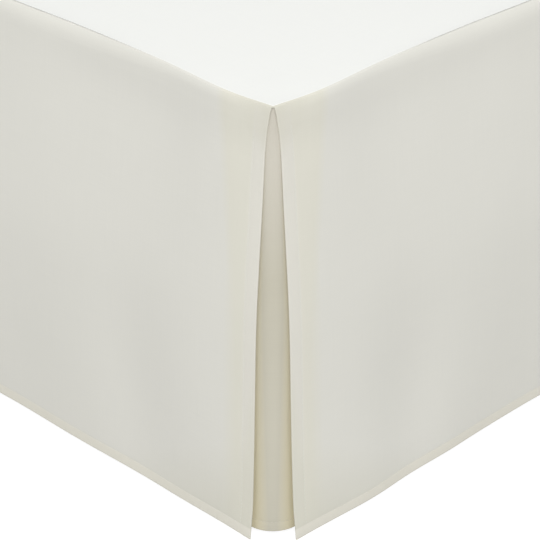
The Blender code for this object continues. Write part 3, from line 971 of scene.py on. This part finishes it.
class BEDSKIRT_OT_base(bpy.types.Operator):
    """Covers the box base in woven cloth with piped rims and a dust cover"""

    bl_idname = "bed_skirt.base"
    bl_label = "Box base"

    def execute(self, context):
        base = context.scene.bed_base
        size = BASE_HIGH - BASE_LOW
        middle = (BASE_HIGH + BASE_LOW) / 2
        place = Matrix.Translation(middle) @ Matrix.Diagonal((*size, 1.0))
        mesh_source = bmesh.new()
        bmesh.ops.create_cube(mesh_source, size=1.0, matrix=place)
        upright = [edge for edge in mesh_source.edges if edge.verts[0].co.xy == edge.verts[1].co.xy]
        bevel(mesh_source, upright, BASE_CORNER, 8)
        level = [edge for edge in mesh_source.edges if edge.verts[0].co.z == edge.verts[1].co.z]
        bevel(mesh_source, level, BASE_RIM, 6)
        under = min(mesh_source.faces, key=lambda face: face.calc_center_median().z)
        bmesh.ops.inset_region(
            mesh_source, faces=[under], thickness=COVER_TURNED_UNDER, depth=COVER_EDGE_DEPTH
        )
        under.material_index = 1
        cover = self.cover_material(base)
        box = new_object("base_cover", mesh_source, cover, self.dust_material(base))
        box.data.shade_smooth()
        box.data.set_sharp_from_angle(angle=math.radians(30))
        stand_in(box, "base_box", "base_cover")
        rims = (("piping_top", BASE_HIGH.z - BASE_RIM), ("piping_bottom", BASE_LOW.z + BASE_RIM))
        for name, height in rims:
            trim(self.piping(name, height, base, cover))
        return {"FINISHED"}

    def piping(self, name, height, base, material):
        """A cord round the box, drawn round its rounded corners."""
        inside = base.piping_radius - PIPING_PROUD
        round_off = BASE_CORNER - inside
        low = BASE_LOW.xy + Vector((BASE_CORNER, BASE_CORNER))
        high = BASE_HIGH.xy - Vector((BASE_CORNER, BASE_CORNER))
        along, back = high.x - low.x, high.y - low.y
        mesh_source = bmesh.new()
        turn = Matrix.Rotation(math.pi / 2, 4, "Y")
        place = Matrix.Translation((low.x, low.y - round_off, height)) @ turn
        bmesh.ops.create_circle(mesh_source, segments=10, radius=base.piping_radius, matrix=place)
        ring = list(mesh_source.edges)
        for run, centre in (
            ((along, 0, 0), (high.x, low.y, 0)),
            ((0, back, 0), (high.x, high.y, 0)),
            ((-along, 0, 0), (low.x, high.y, 0)),
            ((0, -back, 0), (low.x, low.y, 0)),
        ):
            made = bmesh.ops.extrude_edge_only(mesh_source, edges=ring)["geom"]
            bmesh.ops.translate(mesh_source, vec=run, verts=verts_of(made))
            turned = bmesh.ops.spin(
                mesh_source,
                geom=edges_of(made),
                cent=centre,
                axis=(0, 0, 1),
                angle=math.pi / 2,
                steps=6,
                use_duplicate=False,
            )
            ring = edges_of(turned["geom_last"])
        bmesh.ops.remove_doubles(mesh_source, verts=mesh_source.verts, dist=1e-5)
        bmesh.ops.recalc_face_normals(mesh_source, faces=mesh_source.faces)
        made = new_object(name, mesh_source, material)
        made.data.shade_smooth()
        return made

    def cover_material(self, base):
        """Coarse woven ticking, on object coordinates so that it runs on round the corners."""
        material, tree, shader = new_material(
            "base cover", Roughness=0.95, Specular_IOR_Level=0.2, Sheen_Weight=0.15
        )
        x, y, z = new_node(tree, "ShaderNodeSeparateXYZ", {0: object_place(tree)}).outputs
        along = math_node(tree, "ADD", x, y)
        across = math_node(tree, "SUBTRACT", z, math_node(tree, "SUBTRACT", x, y))
        place = new_node(tree, "ShaderNodeCombineXYZ", {0: along, 1: across}).outputs[0]
        weave(tree, shader, place, tuple(base.cover_colour), 0.0011, 0.6, 0.08, 0.0002, (0.001, 0.6))
        return material

    def dust_material(self, base):
        """Thin felted dust cover."""
        material, tree, shader = new_material("dust cover", Roughness=0.85)
        fibres = noise_node(tree, object_place(tree), scale=700.0, detail=4.0, roughness=0.7)
        tone = math_node(tree, "MULTIPLY_ADD", fibres, 0.8, 0.6)
        sagging = bump_node(tree, noise_node(tree, object_place(tree), scale=5.0), 0.006, 0.6)
        bumps = bump_node(tree, fibres, 0.0002, 0.8, sagging)
        colour = toned(tree, tuple(base.underside_colour), tone)
        feed(tree, shader, {"Base Color": colour, "Normal": bumps})
        return material


class BEDSKIRT_OT_legs(bpy.types.Operator):
    """Turns the six wooden legs, each on a plastic glide"""

    bl_idname = "bed_skirt.legs"
    bl_label = "Legs"

    def execute(self, context):
        base = context.scene.bed_base
        wood = self.wood_material(base)
        plastic = self.glide_material()
        for place in ("foot", "middle", "head"):
            for hand in ("left", "right"):
                self.turn(f"leg_{place}_{hand}", base.glide_height, wood, plastic)
        return {"FINISHED"}

    def turn(self, node, glide, wood, plastic):
        low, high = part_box(node)
        centre = (low + high) / 2
        top_radius = (high.x - low.x) / 2
        height = high.z - low.z

        def side(at, inset=0.0, rise=0.0):
            radius = LEG_FOOT_RADIUS + (top_radius - LEG_FOOT_RADIUS) * at / height
            return radius - inset, at + rise

        profile = [
            (0.0, glide),
            side(glide, 0.0025),
            side(glide, 0.0008, 0.0006),
            side(glide, 0.0, 0.0025),
            side(0.08),
            side(height - 0.026),  # from here a groove, 1.2 mm deep
            side(height - 0.024, 0.0012, -0.0005),
            side(height - 0.022, 0.0012, 0.0005),
            side(height - 0.020),
            side(height - 0.002),
            side(height, 0.0015),
            (0.0, height),
        ]
        stand_in(self.lathe(node + "_turned", profile, centre, wood), node, "leg_wood")
        rim = LEG_FOOT_RADIUS - GLIDE_INSET
        disc = [(0.0, 0.0), (rim - 0.0015, 0.0), (rim, 0.0012), (rim, glide), (0.0, glide)]
        trim(self.lathe(node + "_glide", disc, centre, plastic))

    def lathe(self, name, profile, centre, material):
        """Spins a profile of radii and heights round an upright axis through centre."""
        mesh_source = bmesh.new()
        points = [mesh_source.verts.new((radius, 0.0, z)) for radius, z in profile]
        edges = [mesh_source.edges.new(pair) for pair in zip(points, points[1:])]
        bmesh.ops.spin(
            mesh_source,
            geom=[*points, *edges],
            cent=(0, 0, 0),
            axis=(0, 0, 1),
            angle=2 * math.pi,
            steps=48,
            use_merge=True,
        )
        bmesh.ops.remove_doubles(mesh_source, verts=mesh_source.verts, dist=1e-5)
        bmesh.ops.recalc_face_normals(mesh_source, faces=mesh_source.faces)
        bmesh.ops.translate(mesh_source, vec=(centre.x, centre.y, 0.0), verts=mesh_source.verts)
        made = new_object(name, mesh_source, material)
        made.data.shade_smooth()
        made.data.set_sharp_from_angle(angle=math.radians(35))
        return made

    def wood_material(self, base):
        """Stained wood with a thin varnish."""
        material, tree, shader = new_material(
            "stained wood", Roughness=0.38, Coat_Weight=0.3, Coat_Roughness=0.2
        )
        grain = group_node(tree, "wood grain", wood_grain_group, Vector=object_place(tree))
        colour = colour_mix(tree, grain["Mask"], base.wood_colour, base.grain_colour)
        bumps = bump_node(tree, grain["Pores"], 0.0001, 0.4)
        feed(tree, shader, {"Base Color": colour, "Normal": bumps})
        return material

    def glide_material(self):
        """Black plastic, scuffed."""
        material, tree, shader = new_material("glide plastic", Base_Color=(0.02, 0.02, 0.02, 1.0))
        scuffs = noise_node(tree, object_place(tree), scale=260.0, detail=5.0, roughness=0.7)
        roughness = math_node(tree, "MULTIPLY_ADD", scuffs, 0.3, 0.35)
        feed(tree, shader, {"Roughness": roughness, "Normal": bump_node(tree, scuffs, 0.00008, 0.5)})
        return material


class BEDSKIRT_OT_studio(bpy.types.Operator):
    """Sets out the pale floor, the soft light and the camera"""

    bl_idname = "bed_skirt.studio"
    bl_label = "Studio"

    def execute(self, context):
        studio = context.scene.bed_studio
        scene = context.scene
        scene.view_settings.view_transform = "Standard"
        self.floor(studio)
        world = bpy.data.worlds.new("studio")
        world.use_nodes = True
        feed(
            world.node_tree,
            world.node_tree.nodes["Background"],
            {"Color": (1.0, 1.0, 1.0, 1.0), "Strength": studio.ambient},
        )
        scene.world = world
        self.front_light(studio.front_power)
        lens = bpy.data.cameras.new("camera")
        lens.lens = FOCAL_SHARE * SENSOR_WIDTH
        lens.sensor_width = SENSOR_WIDTH
        camera = bpy.data.objects.new("camera", lens)
        camera.location = RIGHT_CORNER + Vector(CAMERA_FROM_CORNER)
        camera.rotation_euler = (math.pi / 2 - CAMERA_DOWN, 0.0, CAMERA_TURN)
        scene.collection.objects.link(camera)
        scene.camera = camera
        return {"FINISHED"}

    def floor(self, studio):
        mesh_source = bmesh.new()
        bmesh.ops.create_grid(mesh_source, x_segments=1, y_segments=1, size=FLOOR_REACH)
        material, tree, shader = new_material(
            "studio floor", Emission_Color=(1.0, 1.0, 1.0, 1.0), Roughness=0.9, Specular_IOR_Level=0.1
        )
        dust = noise_node(tree, object_place(tree), scale=3.0)
        tone = math_node(tree, "MULTIPLY_ADD", dust, 0.004, 0.998)
        seen = tree.nodes.new("ShaderNodeLightPath").outputs["Is Camera Ray"]
        glow = math_node(tree, "MULTIPLY", seen, studio.floor_glow)
        floor_colour = toned(tree, tuple(studio.floor_colour), tone)
        feed(tree, shader, {"Base Color": floor_colour, "Emission Strength": glow})
        new_object("floor", mesh_source, material)

    def front_light(self, power):
        lamp = bpy.data.lights.new("front light", "AREA")
        lamp.shape = "DISK"
        lamp.size = LIGHT_SIZE
        lamp.energy = power
        made = bpy.data.objects.new("front light", lamp)
        target = RIGHT_CORNER + Vector((0.0, 0.0, LIGHT_HEIGHT))
        made.location = target + Vector(LIGHT_FROM_POINT)
        made.rotation_euler = (target - made.location).to_track_quat("-Z", "Y").to_euler()
        bpy.context.scene.collection.objects.link(made)


OPERATORS = (
    BEDSKIRT_OT_deck,
    BEDSKIRT_OT_drops,
    BEDSKIRT_OT_underlays,
    BEDSKIRT_OT_base,
    BEDSKIRT_OT_legs,
    BEDSKIRT_OT_studio,
)


class BEDSKIRT_PT_panel(bpy.types.Panel):
    """Sizes, colours and pieces of the bed skirt"""

    bl_label = "Bed Skirt"
    bl_space_type = "VIEW_3D"
    bl_region_type = "UI"
    bl_category = "Bed Skirt"

    def draw(self, context):
        for settings in (context.scene.skirt_cloth, context.scene.bed_base, context.scene.bed_studio):
            box = self.layout.box()
            for name in settings.bl_rna.properties.keys():
                if name not in ("rna_type", "name"):
                    box.prop(settings, name)
        for operator in OPERATORS:
            self.layout.operator(operator.bl_idname)


CLASSES = (SkirtCloth, BedBase, Studio, *OPERATORS, BEDSKIRT_PT_panel)


def register():
    for item in CLASSES:
        bpy.utils.register_class(item)
    bpy.types.Scene.skirt_cloth = bpy.props.PointerProperty(type=SkirtCloth)
    bpy.types.Scene.bed_base = bpy.props.PointerProperty(type=BedBase)
    bpy.types.Scene.bed_studio = bpy.props.PointerProperty(type=Studio)


def unregister():
    for name in ("skirt_cloth", "bed_base", "bed_studio"):
        delattr(bpy.types.Scene, name)
    for item in reversed(CLASSES):
        bpy.utils.unregister_class(item)


def main():
    register()
    bpy.ops.bed_skirt.deck()
    bpy.ops.bed_skirt.drops()
    bpy.ops.bed_skirt.underlays()
    bpy.ops.bed_skirt.base()
    bpy.ops.bed_skirt.legs()
    bpy.ops.bed_skirt.studio()


if __name__ == "__main__":
    main()
